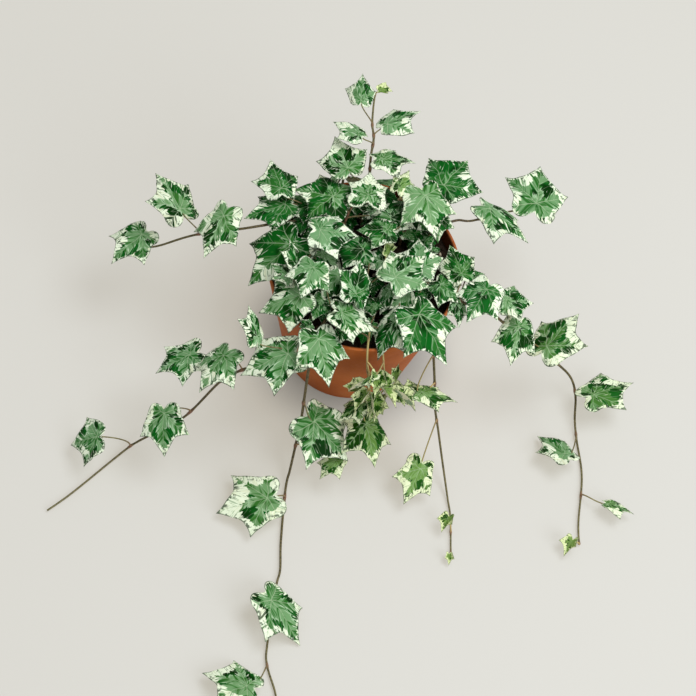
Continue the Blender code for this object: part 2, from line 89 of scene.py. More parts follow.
stem("vine_right_upper", 1.0, 0.9,
     ((34, 36, 106), (44, 41, 113), (54, 47, 115), (64, 50, 114), (82, 67, 104),
      (94, 78, 96)),
     (1.2, (40, 63, 129), 66, 0, 0, 31, "broad_green", 1.05, 0.48),
     (1.0, (38, 44, 121), -70, -5, 0, 20, "green", 0.95),
     (3.3, (74, 60, 118), -25, 0, 15, 34, "creamy", 0.7),
     (4.8, (105, 81, 104), 90, 0, -10, 36, "clean", 0.95))
stem("vine_right", 1.1, 0.7,
     ((36, -6, 106), (48, -7, 113), (60, -9, 114), (69, -13, 113), (88, -9, 102),
      (102, -8, 88), (125, -4, 62), (143, 0, 40), (158, 2, 20), (165, -6, 10),
      (168, -22, 5), (172, -36, 2.2), (180, -63, 1.8), (183, -98, 1.8), (186, -114, 2.0)),
     (2.4, (64, 4, 120), 118, 5, 0, 24, "broad_green", 0.85),
     (1.0, (52, -6, 118), -30, 0, 0, 19, "green", 0.95),
     (2.2, (66, -14, 114), -72, -12, 10, 17, "striped", 0.65),
     (2.8, (73, 10, 112), -20, 0, 0, 11, "green", 0.8),
     (3.6, (83, -3, 120), -108, 0, 5, 27, "broad_green", 0.92),
     (4.2, (98, -1, 108), 20, -10, 0, 20, "striped", 1.05),
     (5.0, (110, -9, 92), -88, -15, 5, 27, "mixed", 0.85, 0.45),
     (5.9, (133, -8, 72), 63, 12, 20, 34, "warm", 0.88),
     (8.8, (176, -10, 24), 38, 0, 10, 34, "warm", 0.75),
     (10.8, (164, -56, 16), 140, -15, -20, 27, "creamy", 0.8),
     (12.4, (200, -84, 12), 0, -5, 25, 20, "warm", 0.6, 0.4),
     (14.0, (180, -116, 7), -110, 5, -15, 12, "young", 0.8))
stem("vine_front_right", 1.0, 0.6,
     ((38, -22, 106), (47, -33, 112.5), (54, -42, 112.5), (59, -51, 95), (64, -58, 74),
      (68, -64, 55), (74, -70, 36), (82, -82, 16), (88, -94, 6), (92, -104, 2.2),
      (96, -116, 1.8), (101, -142, 1.8)),
     (1.5, (42, -41, 132), -42, -12, 12, 36, "broad_green", 0.95),
     (2.8, (56, -70, 84), 8, -5, 20, 25, "half_young", 0.7),
     (3.9, (53, -70, 79), 180, 0, 0, 16, "young", 0.55),
     (5.6, (68, -95, 22), -100, -15, 20, 26, "half_young", 0.85),
     (10.4, (94, -121, 10), -105, 0, -10, 11, "young", 0.8),
     (11.0, (100, -145, 4), -80, 0, 0, 7, "young", 0.7))
stem("vine_front", 1.1, 0.7,
     ((-14, -38, 106), (-17, -50, 112), (-20, -62, 112.5), (-21, -71, 104), (-20, -77, 84),
      (-19, -83, 62), (-18, -89, 40), (-18, -99, 18), (-18, -110, 6), (-18, -123, 2.2),
      (-13, -161, 1.8), (-9, -182, 1.8), (-9, -195, 1.8), (-6, -236, 1.8),
      (-3, -250, 1.8), (7, -269, 1.8), (10, -285, 2.0)),
     (2.6, (-18, -69, 121), -62, -8, 5, 31, "broad_grey"),
     (1.9, (-26, -60, 118), 140, 0, 0, 9, "green", 0.8),
     (5.2, (-9, -91, 46), -25, -22, 0, 36, "clean", 1.0),
     (6.9, (11, -104, 24), -120, 0, -15, 17, "half_young"),
     (9.2, (-29, -139, 16), -152, -5, 5, 35, "white", 0.95),
     (12.0, (-10, -211, 17), -35, -15, 20, 36, "clean", 0.85),
     (14.0, (-13, -271, 14), 170, 0, -18, 31))
stem("vine_left_low", 1.1, 0.8,
     ((-24, -31, 106), (-26, -46, 112), (-28, -60, 112.5), (-36, -72, 104), (-56, -86, 97),
      (-66, -89, 88), (-76, -92, 74), (-96, -104, 34), (-122, -115, 8),
      (-132, -124, 2.2), (-157, -161, 1.8), (-170, -178, 2.0)),
     (3.0, (-36, -78, 109), -150, -12, -10, 33, "broad_grey", 1.0),
     (3.1, (-57, -76, 118), 110, 10, -45, 23, "striped", 0.75),
     (4.6, (-76, -84, 98), -115, -12, -22, 28),
     (5.9, (-99, -78, 76), -145, -8, -10, 25, "mixed", 0.95, 0.68),
     (6.8, (-108, -112, 50), -78, -12, -20, 29, "mixed", 0.9, 0.46),
     (8.6, (-149, -128, 26), -168, -30, 0, 23, "creamy", 1.25, 0.42))
stem("shoot_front", 0.8, 0.1,
     ((12, -34, 106), (13, -48, 112), (14.5, -64, 113.5), (17, -70, 100), (20, -72, 85),
      (21, -74, 66), (22, -78, 48)),
     (1.5, (-3, -55, 117), -100, 0, 0, 12, "green"),
     (3.2, (19, -80, 68), -135, -12, -15, 19, "half_young", 0.8),
     (4.4, (29, -75, 70), -110, -10, 0, 14, "young", 0.8),
     (3.8, (14, -78, 82), 175, 0, 0, 10, "young", 0.8),
     (5.6, (25, -81, 42), -62, -5, 15, 30, "half_young"))
stem("shoot_front_right", 0.8, 0.1,
     ((23, -36, 106), (21, -50, 112), (24.5, -62.5, 113), (29, -70, 98), (34, -73, 84)),
     (3.2, (36, -70, 95), 85, 20, 0, 10, "young", 0.5),
     (3.0, (32, -78, 99), 175, -10, 0, 14, "young", 0.8),
     (4.0, (38, -74, 86), -40, -15, 0, 13, "young", 0.8))
stem("crown_left", 0.9, 0.9,
     ((-38, 30, 106), (-45, 30, 116), (-52, 27, 120)),
     (1.5, (-65, 27, 136), 115, -5, -5, 27, "broad_green", 0.85, 0.44),
     (0.6, (-41, 29, 123), -150, 0, 0, 22, "green"),
     (2.0, (-60, 22, 126), -148, 0, 5, 28, "broad_green", 0.72, 0.44))
stem("crown_back", 0.9, 0.9,
     ((-18, 20, 106), (-19, 24, 118), (-17, 30, 128)),
     (1.5, (-30, 32, 133), 178, 0, 0, 27, "green", 1.0, 0.66),
     (1.2, (-1, 34, 123), 170, 0, 0, 12, "striped"),
     (2.0, (-8, 35, 140), 97, 5, 0, 18, "white", 1.05, 0.8))
stem("crown_right", 0.9, 0.9,
     ((20, 26, 106), (22, 31, 118), (24, 38, 128)),
     (2.0, (29, 44, 141), -60, -8, 8, 29, "grey", 1.0, 0.56),
     (1.2, (9, 30, 126), 50, 0, 0, 24, "striped", 0.95),
     (0.6, (22, 29, 115), 20, 0, 0, 12, "green"),
     (1.6, (10, 17, 132), -170, 0, 0, 20, "green"),
     (1.8, (11, 45, 142), 75, 10, 0, 15, "half_young", 0.75))
stem("crown_middle_left", 0.9, 0.9,
     ((-34, -8, 106), (-35, -6, 116), (-36, -4, 124)),
     (2.0, (-33, 0, 140), 10, 0, 0, 25, "grey", 1.0),
     (1.3, (-29, -4, 119), -25, -12, 0, 19, "grey"),
     (1.2, (-42, -25, 130), 110, 15, -45, 20, "striped", 0.7, 0.3),
     (1.5, (-51, -5, 122), -128, -20, -3, 37, "edged", 0.95))
stem("crown_front_left", 0.9, 0.9,
     ((-20, -22, 106), (-22, -26, 117), (-26, -32, 124)),
     (1.5, (-32, -26, 136), -97, 5, 0, 23, "grey", 1.0),
     (2.0, (-36, -42, 125), -155, -20, 0, 30, "mixed", 0.95, 0.45),
     (1.3, (-46, -31, 126), 150, 0, 0, 16, "grey", 0.8),
     (1.7, (-15, -23, 126), -110, 0, 0, 20, "grey", 1.0),
     (1.2, (-22, -41, 123), -100, -6, 0, 15, "green"),
     (1.0, (-7, -51, 130), -5, -10, 15, 26, "mixed", 0.95))
stem("crown_middle", 0.9, 0.9,
     ((4, -18, 106), (3, -24, 116), (1, -30, 124)),
     (2.0, (-1, -36, 132), 90, 10, -30, 25, "green", 0.85),
     (0.8, (-3, 2, 126), -175, 0, 0, 24, "green"),
     (1.4, (12, -1, 120), 160, 0, 0, 17, "striped"))
stem("crown_middle_right", 0.9, 0.9,
     ((20, -12, 106), (21, -15, 117), (22, -18, 124)),
     (2.0, (22, -20, 137), 55, 5, 0, 27, "grey", 1.0),
     (1.2, (36, -3, 125), 100, 0, 0, 26, "grey"),
     (1.4, (13, 5, 122), 75, 0, 0, 11, "young", 0.55),
     (1.5, (30, -23, 126), -65, -20, 25, 18),
     (1.0, (21, -22, 124), -110, -25, -30, 18, "striped"),
     (0.7, (27, -46, 125), -110, -25, -35, 26, "striped"))
stem("vine_back_left", 1.0, 0.7,
     ((-22, 40, 106), (-26, 51, 112), (-27, 60, 112.5), (-28, 69, 104), (-31, 73, 84),
      (-34, 77, 58), (-36, 80, 32), (-38, 86, 12), (-40, 94, 4)),
     (2.6, (-32, 70, 100), 160, -60, 0, 26),
     (3.4, (-21, 78, 90), 95, -60, 0, 25, "green"),
     (4.6, (-46, 76, 60), 160, -50, 0, 26, "creamy"),
     (6.6, (-38, 92, 28), 85, -30, 0, 26))
stem("vine_back_right", 1.0, 0.7,
     ((10, 42, 106), (13, 53, 112), (15, 62, 112.5), (18, 70, 104), (21, 75, 82),
      (24, 79, 56), (26, 83, 30), (29, 89, 12), (34, 97, 4)),
     (2.6, (22, 72, 98), 30, -60, 0, 26, "creamy"),
     (3.4, (9, 80, 88), 85, -60, 0, 25),
     (4.6, (36, 81, 60), 35, -50, 0, 26, "green"),
     (6.6, (28, 95, 27), 100, -30, 0, 26))

# A blade's colouring: the widths of its cream margin and of the paler green round its veins, as shares
# of its length, how far it leans to a young leaf's yellow-green, how unevenly the cream is spread, and
# how far the paler green leans from grey to a full green.
Look = namedtuple("Look", "cream grey youth patchiness fullness")
LOOKS = {
    "mixed": Look(0.093, 0.105, 0.0, 1.05, 0.35),
    "clean": Look(0.085, 0.16, 0.0, 0.8, 0.45),
    "broad_green": Look(0.05, 0.06, 0.0, 1.1, 0.8),
    "broad_grey": Look(0.085, 0.12, 0.0, 1.1, 0.35),
    "creamy": Look(0.11, 0.12, 0.0, 1.1, 0.25),
    "white": Look(0.18, 0.10, 0.05, 1.0, 0.4),
    "striped": Look(0.08, 0.06, 0.0, 1.0, 0.3),
    "edged": Look(0.05, 0.02, 0.0, 1.7, 0.8),
    "grey": Look(0.065, 0.15, 0.0, 0.9, 0.2),
    "green": Look(0.015, 0.05, 0.0, 0.6, 0.6),
    # Painted shade: an all-dark green colouring for small leaves low in the crown, where shade falls.
    "painted_shade": Look(-0.05, -0.06, 0.0, 0.5, 1.0),
    "warm": Look(0.12, 0.08, 0.2, 1.2, 0.6),
    "half_young": Look(0.10, 0.07, 0.5, 0.9, 0.5),
    "young": Look(0.12, 0.10, 1.0, 0.7, 0.4),
}

# The blade's outline, as in the solids: a middle lobe, two side lobes and two heels. Angles are from
# the midrib, and reaches are shares of the blade's length.
MIDDLE_POINT = 40
SIDE_ANGLE = 54
SIDE_REACH = 0.88
SIDE_FRONT_POINT = 46
SIDE_BACK_POINT = 33
HEEL_ANGLE = 110
HEEL_POINT = 52
HEEL_SWEEP = 78
VEIN_ANGLES = (0, SIDE_ANGLE, HEEL_ANGLE)
VEIN_SPREAD = 27
TIP_DROOP = 0.16
PLEAT = 0.07

# The finer form that the solids leave out
SINUS_ROUNDING = 0.07
ROUNDING_ANGLE = 15.0
LOBE_VARIATION = 0.07
LOBE_SPREAD = 20.0
EDGE_WOBBLE = 0.022
EDGE_WOBBLE_SCALE = 4.5
TIP_DRAW = 0.09
TIP_DRAW_ANGLE = 5.0
BAY_DEPTH = 0.05
BAY_ANGLE = 27.0
BAY_WIDTH = 9.0
MARGIN_WAVE = 0.028
FOLD = 0.21
YOUNG_FOLD = -0.8
FLAT_LYING_HEIGHT = 40.0
SURFACE_CLEARANCE = 0.5
UNDULATION = 0.055
UNDULATION_SCALE = 2.2
BLADE_THICKNESS = 0.45
MARGIN_THICKNESS = 0.25
STALK_FOOT_RADIUS = 0.75
STALK_RADIUS = 0.45
KNOT_SWELL = 0.45
KNOT_REACH = 1.5
STEM_ROUGHNESS = 0.06
STEM_ROUGHNESS_SCALE = 0.9
GREEN_STEM_AGE = 0.3
TIP_GREENING = 0.7
STALK_BARK = 0.25

# How far leaves differ: ranges of their folds, of their margin waves and of what the widths of their
# looks are scaled by, and the most that is added to their youth
FOLD_SPREAD = (0.1, 1.0)
MARGIN_WAVES = (4, 6)
CREAM_SPREAD = (0.8, 1.25)
GREY_SPREAD = (0.85, 1.15)
YOUTH_SPREAD = 0.12

# Fineness
OUTLINE_STRETCHES = ((0, 35, 8), (35, 54, 5), (54, 84, 7), (84, 110, 6), (110, 146, 6), (146, 180, 3))
BLADE_RINGS = (0.06, 0.15, 0.26, 0.38, 0.5, 0.62, 0.74, 0.84, 0.92, 0.97, 1.0)
STEM_STEPS = 10
STEM_SIDES = 12
STALK_STEPS = 12
STALK_SIDES = 8
READING_STEPS = 8
EDGE_STEPS = 8
ROUNDING_STEPS = 3
ARC_STEPS = 5
POT_STEPS = 160
DRAIN_SIDES = 32
WELD_DISTANCE = 0.01
SHARP_ANGLE = 40
NEAR_UPRIGHT = 0.1


def new_object(name, data):
    obj = bpy.data.objects.new(name, data)
    bpy.context.scene.collection.objects.link(obj)
    return obj


class Surface:
    """The vertices and faces of one piece, with values kept at each vertex for its material."""

    def __init__(self, *marks):
        self.points = []
        self.faces = []
        self.slots = []
        self.marks = {name: [] for name in marks}

    def point(self, place, **marks):
        """Adds a vertex at a place in millimetres and returns its number."""
        self.points.append(place)
        for name, values in self.marks.items():
            values.append(marks[name])
        return len(self.points) - 1

    def face(self, *corners, slot=0):
        self.faces.append(corners)
        self.slots.append(slot)

    def piece(self, name, *materials):
        mesh = bpy.data.meshes.new(name)
        mesh.from_pydata([Vector(p) * MM for p in self.points], [], self.faces)
        for mat in materials:
            mesh.materials.append(mat)
        mesh.polygons.foreach_set("material_index", self.slots)
        mesh.polygons.foreach_set("use_smooth", [True] * len(self.faces))
        for mark, values in self.marks.items():
            attribute = mesh.attributes.new(mark, "FLOAT_VECTOR", "POINT")
            attribute.data.foreach_set("vector", np.array(values, np.float32).ravel())
        return new_object(name, mesh)


class Field:
    """A value that varies over a surface: one output in a material's node graph."""

    def __init__(self, shade, socket):
        self.shade = shade
        self.socket = socket

    def __add__(self, other):
        return self.shade.math("ADD", self, other)

    def __sub__(self, other):
        return self.shade.math("SUBTRACT", self, other)

    def __rsub__(self, other):
        return self.shade.math("SUBTRACT", other, self)

    def __mul__(self, other):
        return self.shade.math("MULTIPLY", self, other)

    def __abs__(self):
        return self.shade.math("ABSOLUTE", self)

    def larger(self, other):
        return self.shade.math("MAXIMUM", self, other)

    def step(self, low, high):
        """A smooth step from 0 at `low` to 1 at `high`."""
        values = {"Value": self, "From Min": low, "From Max": high}
        return self.shade.add("MapRange", values, interpolation_type="SMOOTHSTEP")

    def between(self, a, b):
        """A number that goes from a to b."""
        return self.shade.add("Mix", {"Factor": self, "A": a, "B": b}, data_type="FLOAT")

    def blend(self, *colours):
        """A colour that does the same, by way of the node's sockets for colours."""
        a, b = ((*c, 1.0) if isinstance(c, tuple) else c for c in colours)
        return self.shade.add("Mix", {0: self, 6: a, 7: b}, 2, data_type="RGBA")


class Shade:
    """A material's node graph. Most methods add a node and return its output as a field."""

    def __init__(self, name):
        self.material = bpy.data.materials.new(name)
        self.material.use_nodes = True
        self.tree = self.material.node_tree

    def put(self, socket, value):
        if isinstance(value, Field):
            self.tree.links.new(value.socket, socket)
        else:
            socket.default_value = value

    def sets(self, **values):
        """Sets the shader's sockets, with underscores for spaces, and returns the material."""
        shader = self.tree.nodes["Principled BSDF"]
        for name, value in values.items():
            self.put(shader.inputs[name.replace("_", " ")], value)
        return self.material

    def add(self, kind, values, output=0, **settings):
        """A new node's output. Its sockets are given by name or number."""
        node = self.tree.nodes.new("ShaderNode" + kind)
        for name, setting in settings.items():
            setattr(node, name, setting)
        for socket, value in values.items():
            self.put(node.inputs[socket], value)
        return Field(self, node.outputs[output])

    def math(self, operation, *values):
        return self.add("Math", dict(enumerate(values)), operation=operation)

    def vector(self, *parts):
        return self.add("CombineXYZ", dict(enumerate(parts)))

    def marks(self, name):
        """The three values kept at the vertices under a name."""
        kept = self.add("Attribute", {}, "Vector", attribute_name=name)
        return tuple(self.add("SeparateXYZ", {0: kept}, k) for k in range(3))

    def place(self):
        """The object's own coordinates, in metres."""
        return self.add("TexCoord", {}, "Object")

    def stretched(self, vector, *shares):
        return self.add("VectorMath", {0: vector, 1: shares}, operation="MULTIPLY")

    def length(self, vector):
        return self.add("VectorMath", {0: vector}, "Value", operation="LENGTH")

    def noise(self, vector, scale, detail):
        return self.add("TexNoise", {"Vector": vector, "Scale": scale, "Detail": detail})

    def swing(self, vector, scale, detail):
        """Noise less its mean."""
        return self.noise(vector, scale, detail) - 0.5

    def finish(self, colour, height, rough, gloss, relief_mm, strength=0.7):
        """Gives the shader its colour and its relief, and returns the material."""
        values = {"Height": height, "Distance": relief_mm * MM, "Strength": strength}
        return self.sets(Base_Color=colour, Roughness=rough, Specular_IOR_Level=gloss,
                         Normal=self.add("Bump", values))


def added(*vectors):
    return tuple(map(sum, zip(*vectors)))


def scaled(vector, k):
    return tuple(c * k for c in vector)


def smooth_route(waypoints, steps):
    """A smooth curve through the waypoints, with `steps` points to each stretch."""
    ends = [waypoints[0], *waypoints, waypoints[-1]]
    points = []
    for i in range(1, len(ends) - 2):
        for k in range(steps):
            t = k / steps
            points.append(tuple(
                0.5 * (2 * b + (c - a) * t + (2 * a - 5 * b + 4 * c - d) * t * t
                       + (3 * b - a - 3 * c + d) * t ** 3)
                for a, b, c, d in zip(*ends[i - 1:i + 3])))
    points.append(tuple(waypoints[-1]))
    return points


def point_on_route(waypoints, at):
    """The point at waypoint number `at`, which may lie between two of them."""
    points = smooth_route(waypoints, READING_STEPS)
    i = min(int(at * READING_STEPS), len(points) - 2)
    share = at * READING_STEPS - i
    return tuple(a + (b - a) * share for a, b in zip(points[i], points[i + 1]))


def leaf_axes(leaf):
    """The blade's directions: along its midrib, across to its right, and up out of its face."""
    heading, pitch, bank = (radians(a) for a in (leaf.heading, leaf.pitch, leaf.bank))
    along = (cos(heading) * cos(pitch), sin(heading) * cos(pitch), sin(pitch))
    level = (sin(heading), -cos(heading), 0.0)
    lift = (-sin(pitch) * cos(heading), -sin(pitch) * sin(heading), cos(pitch))
    across = added(scaled(level, cos(bank)), scaled(lift, sin(bank)))
    up = added(scaled(lift, cos(bank)), scaled(level, -sin(bank)))
    return along, across, up


def edge_between_lobes(reach, point, off_axis):
    """How far a lobe's edge lies at an angle off the lobe's own axis. Its tip is drawn out a little,
    and it runs into a bay halfway to the next lobe."""
    drawn = 1.0 - TIP_DRAW * (1.0 - exp(-off_axis / TIP_DRAW_ANGLE))
    bay = 1.0 - BAY_DEPTH * exp(-((off_axis - BAY_ANGLE) / BAY_WIDTH) ** 2)
    return drawn * bay * reach * sin(radians(point)) / sin(radians(point + off_axis))


def rounded_larger(a, b):
    """The larger of two reaches, with the corner where they meet rounded."""
    near = max(0.0, SINUS_ROUNDING - abs(a - b)) / SINUS_ROUNDING
    return max(a, b) + near * near * SINUS_ROUNDING / 4


def leaf_reach(angle, heel):
    """The outline's distance from the veins' start, as a share of the blade's length."""
    a = abs(angle)
    if a > HEEL_ANGLE:
        return heel * cos(radians((a - HEEL_ANGLE) * HEEL_SWEEP / (180 - HEEL_ANGLE)))
    if a > SIDE_ANGLE:
        return rounded_larger(edge_between_lobes(SIDE_REACH, SIDE_BACK_POINT, a - SIDE_ANGLE),
                              edge_between_lobes(heel, HEEL_POINT, HEEL_ANGLE - a))
    return rounded_larger(edge_between_lobes(SIDE_REACH, SIDE_FRONT_POINT, SIDE_ANGLE - a),
                          edge_between_lobes(1.0, MIDDLE_POINT, a))


def rounded_reach(angle, heel):
    """The outline with its heels and the bays between its lobes rounded, and its tips left sharp."""
    off_tip = min(abs(abs(angle) - tip) for tip in (0, SIDE_ANGLE))
    window = min(ROUNDING_ANGLE, off_tip)
    spots = [(angle + window * k / ROUNDING_STEPS + 180) % 360 - 180
             for k in range(-ROUNDING_STEPS, ROUNDING_STEPS + 1)]
    return sum(leaf_reach(spot, heel) for spot in spots) / len(spots)


def outline_angles():
    """Angles all round the blade, from the notch by the stalk and back to it."""
    half = [low + (high - low) * k / steps
            for low, high, steps in OUTLINE_STRETCHES for k in range(steps)]
    return [-180.0] + [-a for a in half[:0:-1]] + half


def smooth_ramp(t):
    t = min(1.0, max(0.0, t))
    return t * t * (3 - 2 * t)


class Blade:
    """One leaf's blade: its outline, and how its face rises and falls."""

    def __init__(self, leaf, draw):
        self.leaf = leaf
        self.axes = leaf_axes(leaf)
        self.seed = draw.uniform(0, 100)
        self.freedom = min(1.0, leaf.base[2] / FLAT_LYING_HEIGHT)
        self.fold = draw.uniform(*FOLD_SPREAD) * FOLD * self.freedom
        if leaf.look == "young":
            self.fold = YOUNG_FOLD
        self.waves = draw.randint(*MARGIN_WAVES)
        self.wave_turn = draw.uniform(0, 360)
        self.lobes = {tip: -draw.random() * LOBE_VARIATION
                      for tip in (-HEEL_ANGLE, -SIDE_ANGLE, SIDE_ANGLE, HEEL_ANGLE)}

    def reach(self, angle):
        spot = Vector((cos(radians(angle)), sin(radians(angle)), 0)) * EDGE_WOBBLE_SCALE
        spot.z = self.seed
        wobble = 1.0 + EDGE_WOBBLE * (noise.noise(spot) - 1.0)
        for tip, more in self.lobes.items():
            wobble += more * exp(-((angle - tip) / LOBE_SPREAD) ** 2)
        return rounded_reach(angle, self.leaf.heel) * wobble

    def flat(self, angle, share):
        """The place on the unbent blade, forward and left, as shares of its length."""
        reach = self.reach(angle) * share
        return reach * cos(radians(angle)), reach * sin(radians(angle))

    def place(self, angle, share):
        """The place on the bent blade, in millimetres. A blade that meets the surface lies on it."""
        leaf = self.leaf
        along, across, up = self.axes
        x, y = self.flat(angle, share)
        reach = hypot(x, y)
        off_vein = min(abs(abs(angle) - vein) for vein in VEIN_ANGLES)
        lift = PLEAT * reach * smooth_ramp(off_vein / VEIN_SPREAD) - TIP_DROOP * reach ** 2
        lift -= self.fold * abs(y) * share
        swell = noise.noise(Vector((x, y, 0)) * UNDULATION_SCALE + Vector((0, 0, self.seed)))
        lift += UNDULATION * share * (swell - 0.5) * self.freedom
        lift += MARGIN_WAVE * share ** 3 * sin(radians(self.waves * angle + self.wave_turn))
        place = added(leaf.base, scaled(along, x * leaf.length),
                      scaled(across, -y * leaf.wide * leaf.length), scaled(up, lift * leaf.length))
        return (*place[:2], max(place[2], SURFACE_CLEARANCE))


def edge_distances(flats, rim):
    """How far each flat place lies from the outline."""
    ends = np.roll(rim, -1, axis=0)
    steps = np.linspace(0, 1, EDGE_STEPS, endpoint=False)[:, None, None]
    line = (rim + (ends - rim) * steps).reshape(-1, 2)
    return np.sqrt(((flats[:, None, :] - line[None]) ** 2).sum(2)).min(1)


def add_blade(surface, leaf, draw):
    """A thin closed blade, its face in material slot 0 and its underside in slot 1."""
    blade = Blade(leaf, draw)
    look = LOOKS[leaf.look]
    cream = look.cream * draw.uniform(*CREAM_SPREAD)
    grey = look.grey * draw.uniform(*GREY_SPREAD)
    youth = min(1.0, look.youth + draw.uniform(0, YOUTH_SPREAD))
    count = len(OUTLINE)
    spots = [(0.0, 0.0)] + [(angle, share) for share in BLADE_RINGS for angle in OUTLINE]
    flats = np.array([blade.flat(*spot) for spot in spots])
    margins = edge_distances(flats, flats[-count:])
    up = blade.axes[2]
    sides = []
    for face_side in (1, -1):
        numbers = []
        for (angle, share), (x, y), margin in zip(spots, flats, margins):
            thick = BLADE_THICKNESS + (MARGIN_THICKNESS - BLADE_THICKNESS) * share ** 4
            place = added(blade.place(angle, share), scaled(up, face_side * thick / 2))
            numbers.append(surface.point(place, blade=(x, y, margin), kind=(cream, grey, youth),
                                         draw=(blade.seed, look.patchiness, look.fullness)))
        sides.append(numbers)
    last = 1 + (len(BLADE_RINGS) - 1) * count
    for slot, (numbers, turn) in enumerate(zip(sides, (1, -1))):
        for i in range(count):
            j = (i + 1) % count
            corners = (numbers[0], numbers[1 + i], numbers[1 + j])
            surface.face(*corners[::turn], slot=slot)
            for inner in range(1, last, count):
                outer = inner + count
                corners = (numbers[inner + i], numbers[outer + i],
                           numbers[outer + j], numbers[inner + j])
                surface.face(*corners[::turn], slot=slot)
    for i in range(count):
        j = (i + 1) % count
        surface.face(sides[0][last + j], sides[0][last + i], sides[1][last + i], sides[1][last + j])


def add_tube(surface, points, radii, sides, marks):
    """A closed tube through points, with a radius and a mark for each."""
    rows = []
    guide = Vector((0.0, 0.0, 1.0))
    for i, (centre, radius, mark) in enumerate(zip(points, radii, marks)):
        before, after = points[max(0, i - 1)], points[min(len(points) - 1, i + 1)]
        along = (Vector(after) - Vector(before)).normalized()
        side = along.cross(guide)
        if side.length < NEAR_UPRIGHT:
            side = along.cross(Vector((1.0, 0.0, 0.0)))
        side.normalize()
        guide = side.cross(along)
        row = []
        for k in range(sides):
            turn = 2 * pi * k / sides
            out = side * cos(turn) + guide * sin(turn)
            spot = (Vector(centre) + out * radius) * STEM_ROUGHNESS_SCALE
            rough = 1.0 + STEM_ROUGHNESS * noise.noise(spot)
            row.append(surface.point(tuple(Vector(centre) + out * radius * rough), stem=mark))
        rows.append(row)
    for low, high in zip(rows, rows[1:]):
        for k in range(sides):
            m = (k + 1) % sides
            surface.face(low[k], low[m], high[m], high[k])
    surface.face(*rows[0][::-1])
    surface.face(*rows[-1])


def stalk_route(vine, leaf):
    """The leaf stalk's bend, from the middle of the stem up to the blade, just behind its veins."""
    along, _, up = leaf_axes(leaf)
    start = point_on_route(vine.route, leaf.at)
    span = dist(start, leaf.base)
    rise = added(start, (0.0, 0.0, STALK_RISE_SHARE * span))
    arrive = added(leaf.base, scaled(along, -STALK_RISE_SHARE * span),
                   scaled(up, -STALK_DIP_SHARE * span))
    end = added(leaf.base, scaled(along, -STALK_END_SHARE * leaf.length), scaled(up, -STALK_SINK))
    points = []
    for k in range(STALK_STEPS + 1):
        t = k / STALK_STEPS
        weights = ((1 - t) ** 3, 3 * t * (1 - t) ** 2, 3 * t * t * (1 - t), t ** 3)
        points.append(added(*(scaled(p, w) for p, w in zip((start, rise, arrive, end), weights))))
    return points


def add_stalk(surface, vine, leaf):
    points = stalk_route(vine, leaf)
    last = len(points) - 1
    shares = [1 - i / last for i in range(last + 1)]
    radii = [STALK_RADIUS + (STALK_FOOT_RADIUS - STALK_RADIUS) * share ** 6 for share in shares]
    youth = LOOKS[leaf.look].youth
    marks = [(STALK_BARK * vine.age * share, share ** 4, youth) for share in shares]
    add_tube(surface, points, radii, STALK_SIDES, marks)


def add_stem(surface, vine):
    """The stem, thicker and redder where each leaf grows, and greener towards its tip."""
    x, y, _ = vine.route[0]
    points = [(x, y, SOIL_TOP - ROOT_DEPTH / 2), *smooth_route(vine.route, STEM_STEPS)]
    knots = [point_on_route(vine.route, leaf.at) for leaf in vine.leaves]
    last = len(points) - 1
    youth = max(0.0, 1.0 - vine.age / GREEN_STEM_AGE)
    radii = []
    marks = []
    for i, point in enumerate(points):
        share = i / last
        near = min(dist(point, knot) for knot in knots)
        knot = exp(-(near / KNOT_REACH) ** 2)
        taper = 1.0 + (STEM_TIP_SHARE - 1.0) * share
        radii.append(vine.radius * taper * (1.0 + KNOT_SWELL * knot))
        marks.append((vine.age * (1 - TIP_GREENING * share ** 3), knot, youth))
    add_tube(surface, points, radii, STEM_SIDES, marks)


# Small leaves besides those of the solids: curled ones on the two pale shoots, and a few at the back
MORE_LEAVES = {
    "shoot_front": (
        Leaf(2.8, (18, -79, 92), -165, -20, -30, 12, "young", 0.5),
        Leaf(3.4, (25, -83, 84), -60, -35, 25, 17, "young", 0.55),
        Leaf(3.4, (20, -83, 86), -115, -20, -25, 14, "young", 0.6),
        Leaf(3.2, (31, -79, 92), -30, -20, 20, 15, "young", 0.6),
        Leaf(2.7, (24, -76, 102), -80, -10, 10, 14, "young", 0.7),
    ),
    "shoot_front_right": (
        Leaf(2.5, (22, -77, 104), -140, -15, -30, 14, "half_young", 0.5),
        Leaf(3.4, (41, -78, 88), -15, -20, 30, 17, "young", 0.5),
        Leaf(3.7, (29, -82, 82), -100, -30, 15, 16, "young", 0.5),
        Leaf(4.0, (44, -74, 78), 20, -15, 20, 15, "half_young", 0.55),
    ),
    "vine_back_left": (
        Leaf(5.4, (-25, 86, 46), 50, -55, 10, 17, "half_young", 0.8),
    ),
    "vine_back_right": (
        Leaf(1.7, (3, 68, 108), 140, -35, 0, 16, "green", 0.85),
        Leaf(7.5, (43, 98, 14), 20, -10, 0, 12, "young", 0.8),
    ),
}

# Small leaves low in the crown, with more of them where the stems stand apart at the back
UNDERGROWTH = 4
BACK_UNDERGROWTH = 9
BACK_ROOT = 33.0
CLEAR_RADIUS = 57.0
# Most low leaves take the all-dark look, painted shade for the crown's shadow.
LOW_LOOKS = ("painted_shade", "painted_shade", "painted_shade", "painted_shade", "green")
LOW_TOP = 1.3
LOW_OUT = (6, 16)
LOW_RISE = (1, 7)
LOW_LENGTH = (9, 16)
LOW_REACH = 0.6
LOW_TURN = 60
LOW_PITCH = (-30, 0)
LOW_BANK = (-25, 25)
LOW_WIDE = (0.75, 0.95)
LOW_HEEL = (0.4, 0.6)

# How much longer blades are drawn than in the solids, which makes up for their shorter lobes. Those
# of the top stem, and those far out, keep their length.
CROWN_GROWTH = 1.06
OUTER_GROWTH = 1.04
STEADY_REACH = 150.0


